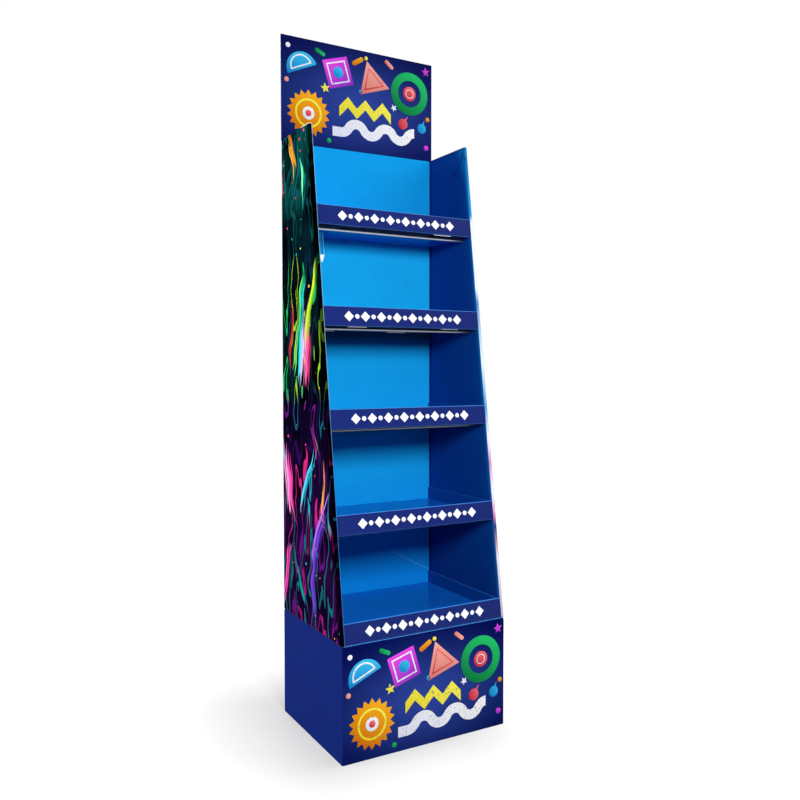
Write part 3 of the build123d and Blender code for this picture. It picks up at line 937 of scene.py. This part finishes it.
def select_only(*pieces):
    """Selects these pieces and no others, and makes the first one active."""
    bpy.ops.object.select_all(action="DESELECT")
    for piece in pieces:
        piece.select_set(True)
    bpy.context.view_layer.objects.active = pieces[0]


def lay_on(piece, spot, lean=0.0, turn=0.0):
    """Turns a flat shape and lays it on an upright panel that leans back, with its place in its mesh."""
    upright = Matrix.Rotation(math.pi / 2 - lean, 4, "X")
    piece.matrix_world = Matrix.Translation(spot) @ upright @ Matrix.Rotation(turn, 4, "Z")
    select_only(piece)
    bpy.ops.object.transform_apply(location=True, rotation=True, scale=True)


def join(pieces, name):
    """Joins shapes into one piece."""
    select_only(*pieces)
    bpy.ops.object.join()
    pieces[0].name = pieces[0].data.name = name
    return pieces[0]


def copy_piece(piece, name, shift):
    """A copy with its own mesh, moved by a shift."""
    select_only(piece)
    bpy.ops.object.duplicate()
    made = bpy.context.object
    made.name = made.data.name = name
    made.location = shift
    bpy.ops.object.transform_apply(location=True, rotation=True, scale=True)
    return made


def front_face(name):
    """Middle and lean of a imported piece's largest face that looks to the front."""
    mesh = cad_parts[name].data
    largest = max((face for face in mesh.polygons if face.normal.y < -0.95), key=lambda face: face.area)
    corners = [mesh.vertices[index].co for face in mesh.polygons for index in face.vertices
               if face.normal.dot(largest.normal) > 0.9999
               and abs(largest.normal.dot(face.center - largest.center)) < 0.1 * MM]
    middle = Vector((min(c[axis] for c in corners) + max(c[axis] for c in corners)) / 2 for axis in range(3))
    return middle, math.atan2(largest.normal.z, -largest.normal.y)


def finish_pieces(material, *names):
    """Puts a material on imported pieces."""
    for name in names:
        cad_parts[name].material_slots[0].material = material


# Outline of the torn flap on the left front fold: mm to the right of the fold, and height in mm
FLAP = ((-1.5, 1170), (9.5, 1170), (10.5, 1152), (9.5, 1138), (10.5, 1122), (9.5, 1116), (6.5, 1108),
        (4.0, 1101), (0.5, 1104))

# Printed shapes of the header and base front: shape, ink, place from the panel's middle and size in mm, turn
# in degrees, and the ink layer that it is printed in
Motif = namedtuple("Motif", "shape ink x z size turn layer", defaults=(0, 0))
FORMS = {
    "disc": {},
    "ring": {"hole": 0.62},
    "hoop": {"hole": 0.86},
    "square": {"sides": 4},
    "square_line": {"sides": 4, "hole": 0.91},
    "triangle": {"sides": 3},
    "triangle_line": {"sides": 3, "hole": 0.91},
    "star": {"sides": 10, "waist": 0.45},
    "sun": {"sides": 36, "waist": 0.8},
    "half": {"half": True},
    "half_line": {"half": True, "hole": 0.88},
    "drop": {"sides": 32, "point": 0.9},
    "pill": {"sides": 24, "stretch": 4.0},
}
PANEL_MOTIFS = (
    Motif("sun", "orange", -144, -52, 58),
    Motif("hoop", "yellow", -144, -52, 36, layer=1),
    Motif("disc", "white", -144, -52, 16, layer=1),
    Motif("disc", "red", -144, -52, 8, layer=2),
    Motif("ring", "green", 148, 42, 56),
    Motif("disc", "red", 148, 42, 19),
    Motif("hoop", "white", 148, 42, 12, layer=1),
    Motif("square", "magenta", -62, 62, 50, 62),
    Motif("square_line", "white", -62, 62, 38, 62, 1),
    Motif("disc", "cyan", -62, 62, 14, 0, 1),
    Motif("triangle", "salmon", 36, 56, 52, 18),
    Motif("triangle_line", "red", 36, 56, 36, 18, 1),
    Motif("half", "cyan", -160, 54, 42, 24),
    Motif("half_line", "white", -162.5, 59.5, 30, 24, 1),
    Motif("drop", "red", 128, -40, 14, -34),
    Motif("drop", "cyan", 186, -44, 13, -20),
    Motif("pill", "orange", -6, 100, 6, 32),
    Motif("pill", "green", -112, 104, 5, -24),
    Motif("pill", "salmon", 86, 108, 5, -38),
    Motif("star", "yellow", -98, 18, 13, 10),
    Motif("star", "white", 100, -2, 10, 30),
    Motif("star", "magenta", 198, 108, 13, 8),
    Motif("disc", "white", -198, 106, 6),
    Motif("disc", "salmon", -202, 22, 6),
    Motif("disc", "cyan", 2, 24, 5),
    Motif("disc", "magenta", 200, -94, 7),
    Motif("disc", "green", -88, -112, 6),
    Motif("disc", "orange", 204, -18, 6),
    Motif("disc", "yellow", 18, 112, 5),
)


class STAND_OT_base_carton(bpy.types.Operator):
    """Finish the base carton"""

    bl_idname = "stand.base_carton"
    bl_label = "Base carton"

    def execute(self, context):
        material = coated_board("offset_printed_base_board", base_colour, base_cut, roughness=0.55,
                                gloss=0.004, wear=0.8, sound_folds=sound_base_folds)
        finish_pieces(material, "base_plinth")
        return {"FINISHED"}


class STAND_OT_ribs(bpy.types.Operator):
    """Finish the crossed ribs inside the base"""

    bl_idname = "stand.ribs"
    bl_label = "Ribs"

    def execute(self, context):
        finish_pieces(kraft_board(), *rib_names)
        return {"FINISHED"}


class STAND_OT_body(bpy.types.Operator):
    """Finish the folded body"""

    bl_idname = "stand.body"
    bl_label = "Shelf body"

    def execute(self, context):
        material = coated_board("offset_printed_body_board", body_colour, body_cut, roughness=0.52, gloss=0.0,
                                wear=1.3, sound_folds=sound_body_folds, scuff=body_scuff, uneven=0.45)
        finish_pieces(material, "body_wrap")
        return {"FINISHED"}


class STAND_OT_header(bpy.types.Operator):
    """Finish the header card"""

    bl_idname = "stand.header"
    bl_label = "Header card"

    def execute(self, context):
        material = coated_board("offset_printed_header_board", header_colour, header_cut, roughness=0.55,
                                gloss=0.02, wear=0.3)
        finish_pieces(material, "header_card")
        return {"FINISHED"}


class STAND_OT_trays(bpy.types.Operator):
    """Finish the trays"""

    bl_idname = "stand.trays"
    bl_label = "Trays"

    def execute(self, context):
        material = coated_board("offset_printed_tray_board", tray_colour, tray_cut, roughness=0.24, gloss=0.1,
                                wear=0.6, sound_folds=sound_tray_folds, uneven=0.04, floor_gloss=0.25)
        finish_pieces(material, *tray_names)
        return {"FINISHED"}


class STAND_OT_tubes(bpy.types.Operator):
    """Finish the steel tubes"""

    bl_idname = "stand.tubes"
    bl_label = "Tubes"

    def execute(self, context):
        finish_pieces(zinc_tube(), *bar_names)
        return {"FINISHED"}


class STAND_OT_panel_print(bpy.types.Operator):
    """Lay the printed shapes on the header and on the front of the base"""

    bl_idname = "stand.panel_print"
    bl_label = "Panel print"

    def execute(self, context):
        middle = Vector((0, header_low.y, (body_high.z + header_high.z) / 2))
        shapes = []
        for motif in PANEL_MOTIFS:
            shape = print_film(round_shape(motif.size * MM, **FORMS[motif.shape]), motif.ink)
            proud = Vector((0, -motif.layer * context.scene.stand_sizes.ink_film, 0))
            spot = middle + proud + Vector((motif.x, 0, motif.z)) * MM
            lay_on(shape, spot, turn=math.radians(motif.turn))
            shapes.append(shape)
        wave_spot, zigzag_spot = Vector((-66, 0, -86)) * MM, Vector((-72, 0, -34)) * MM
        wave = print_film(wave_ribbon(width=24 * MM, bend=25 * MM, swings=4), "white")
        lay_on(wave, middle + wave_spot)
        zigzag = print_film(zigzag_ribbon(width=26 * MM, stride=25 * MM, rise=26 * MM, strides=6), "yellow")
        lay_on(zigzag, middle + zigzag_spot)
        header_print = join([*shapes, wave, zigzag], "header_print")
        base_middle, _ = front_face("base_plinth")
        base_print = copy_piece(header_print, "base_print", base_middle - middle)
        for piece in (header_print, base_print):
            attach(piece, BODY)
        return {"FINISHED"}


class STAND_OT_lip_print(bpy.types.Operator):
    """Lay a border of white marks on each tray's lip"""

    bl_idname = "stand.lip_print"
    bl_label = "Lip print"

    def execute(self, context):
        sizes = context.scene.stand_sizes
        middle, lean = front_face(tray_names[0])
        printed_share, small_share = 0.8, 0.45
        count = 2 * int(printed_share * tray_half_width / sizes.lip_mark_pitch) + 1
        marks = []
        for index in range(count):
            large = index % 2 == 0
            radius = sizes.lip_mark if large else sizes.lip_mark * small_share
            mark = print_film(round_shape(radius, sides=4 if large else 24), "plain_white")
            across = (index - (count - 1) / 2) * sizes.lip_mark_pitch
            lay_on(mark, middle + Vector((across, 0, 0)), lean)
            marks.append(mark)
        first = join(marks, "lip_print_1")
        rows = [first]
        for number, name in enumerate(tray_names[1:], start=2):
            rows.append(copy_piece(first, f"lip_print_{number}", front_face(name)[0] - middle))
        for row in rows:
            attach(row, BODY)
        return {"FINISHED"}


class STAND_OT_torn_flap(bpy.types.Operator):
    """Hang the torn flap on the left front fold"""

    bl_idname = "stand.torn_flap"
    bl_label = "Torn flap"

    def execute(self, context):
        inset, middle = 1.2, FLAP[0][1]
        flap = start_piece(bpy.ops.mesh.primitive_circle_add, vertices=len(FLAP), fill_type="NGON")
        for vertex, (across, height) in zip(flap.data.vertices, FLAP):
            vertex.co = Vector((across, height - middle, 0)) * MM
        thicken(flap, context.scene.stand_sizes.liner)
        depth = body_low.y + front_slope * (middle * MM - base_high.z) + inset * MM
        lay_on(flap, Vector((-wall_inner, depth, middle * MM)), math.atan(front_slope))
        flap.name = flap.data.name = "torn_flap"
        flap.data.materials.append(torn_liner())
        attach(flap, BODY)
        return {"FINISHED"}


# Soft lights: place, point that they are aimed at, and width, in metres
SOFT_LIGHTS = {
    "key": ((-0.45, -1.72, 1.32), (0, 0, -0.2), 0.4),
    "fill": ((-3.4, 0.5, 1.0), (0, 0, 0.7), 1.8),
    "side": ((2.3, -0.7, 2.8), (0, 0, 0.4), 2.8),
    "back": ((0.6, 3.0, 2.6), (0, 0, 0.8), 1.4),
    "top": ((1.0, 0.7, 3.6), (0, 0, 0.4), 2.6),
}


class STAND_OT_stage(bpy.types.Operator):
    """Set the floor, the lights and the camera"""

    bl_idname = "stand.stage"
    bl_label = "Stage"

    def execute(self, context):
        scene, stage = context.scene, context.scene.stand_stage
        scene.view_settings.view_transform = "Standard"
        self.white_floor()
        self.white_world(stage.ambient)
        for name, (spot, target, width) in SOFT_LIGHTS.items():
            self.soft_light(f"{name}_light", spot, target, width, getattr(stage, f"{name}_power"))
        self.camera(stage)
        return {"FINISHED"}

    def seen(self, node):
        """1 for rays from the camera and for those that mirrors and glass send on."""
        path = node("LightPath").node.outputs
        mirrored = node("Math MAXIMUM", [path["Is Glossy Ray"], path["Is Transmission Ray"]])
        return node("Math MAXIMUM", [path["Is Camera Ray"], mirrored])

    def white_floor(self):
        """A matt white floor that melts into the surround, with a painted shadow close to the stand where its
        glow is weaker.
        """
        floor_size, matt_white = 30.0, (0.26, 0.26, 0.26, 1)
        floor = start_piece(bpy.ops.mesh.primitive_plane_add, size=floor_size)
        floor.name = "floor"
        material, node = start_material("white_studio_floor")
        spot = node("TexCoord").node.outputs["Object"]
        # Painted shadow: the floor's glow is weaker inside a box round the stand's foot, a little to its left
        shade_middle, shade_half = Vector((-0.085, 0.03, 0.0)), Vector((0.135, 0.168, 0.0))
        reach = node("VectorMath SUBTRACT", [spot, shade_middle])
        reach = node("VectorMath ABSOLUTE", [reach])
        reach = node("VectorMath SUBTRACT", [reach, shade_half])
        reach = node("VectorMath MAXIMUM", [reach, (0, 0, 0)])
        away = node("VectorMath LENGTH", [reach])
        near_lift, far_lift, far = 0.48, 1.0, 0.42
        lift = node("MapRange", [away, 0.0, far, near_lift, far_lift])
        lift = node("Math MULTIPLY", [lift, self.seen(node)])
        glow = node("Emission", {"Color": (1, 1, 1, 1), "Strength": lift})
        matt = node("BsdfDiffuse", {"Color": matt_white})
        both = node("AddShader", [matt, glow])
        node("OutputMaterial", [both])
        floor.data.materials.append(material)

    def white_world(self, ambient):
        """A white surround that is seen as it is but lights the stand only faintly."""
        world = bpy.data.worlds.new("white_surround")
        node = start_nodes(world)
        strength = node("MapRange", [self.seen(node), 0.0, 1.0, ambient, 1.0])
        surround = node("Background", {"Color": (1, 1, 1, 1), "Strength": strength})
        node("OutputWorld", [surround])
        bpy.context.scene.world = world

    def soft_light(self, name, spot, target, width, watts):
        """A square area light."""
        light = start_piece(bpy.ops.object.light_add, type="AREA", location=spot)
        light.name = name
        light.data.size = width
        light.data.energy = watts
        light.rotation_euler = (Vector(target) - Vector(spot)).to_track_quat("-Z", "Y").to_euler()

    def camera(self, stage):
        """The photograph's view."""
        aim = (math.pi / 2 - stage.droop, 0, -stage.heading)
        camera = start_piece(bpy.ops.object.camera_add, location=stage.eye, rotation=aim)
        camera.data.lens = stage.lens
        camera.data.clip_end = 100.0
        bpy.context.scene.camera = camera


class STAND_PT_sidebar(bpy.types.Panel):
    """Steps that dress the stand, in order"""

    bl_idname = "STAND_PT_sidebar"
    bl_label = "Display Stand"
    bl_space_type = "VIEW_3D"
    bl_region_type = "UI"
    bl_category = "Display Stand"

    def draw(self, context):
        for operator in OPERATORS:
            self.layout.operator(operator.bl_idname)
        for group_name, group in GROUPS.items():
            for name in group.__annotations__:
                self.layout.prop(getattr(context.scene, group_name), name)


OPERATORS = (STAND_OT_base_carton, STAND_OT_ribs, STAND_OT_body, STAND_OT_header, STAND_OT_trays,
             STAND_OT_tubes, STAND_OT_panel_print, STAND_OT_lip_print, STAND_OT_torn_flap, STAND_OT_stage)
GROUPS = {"stand_sizes": StandSizes, "stand_colours": StandColours, "stand_stage": StandStage}


def register():
    for cls in (*GROUPS.values(), *OPERATORS, STAND_PT_sidebar):
        bpy.utils.register_class(cls)
    for name, group in GROUPS.items():
        setattr(bpy.types.Scene, name, PointerProperty(type=group))


def unregister():
    for name in GROUPS:
        delattr(bpy.types.Scene, name)
    for cls in reversed((*GROUPS.values(), *OPERATORS, STAND_PT_sidebar)):
        bpy.utils.unregister_class(cls)


def main():
    register()
    bpy.ops.stand.base_carton()
    bpy.ops.stand.ribs()
    bpy.ops.stand.body()
    bpy.ops.stand.header()
    bpy.ops.stand.trays()
    bpy.ops.stand.tubes()
    bpy.ops.stand.panel_print()
    bpy.ops.stand.lip_print()
    bpy.ops.stand.torn_flap()
    bpy.ops.stand.stage()


if __name__ == "__main__":
    main()
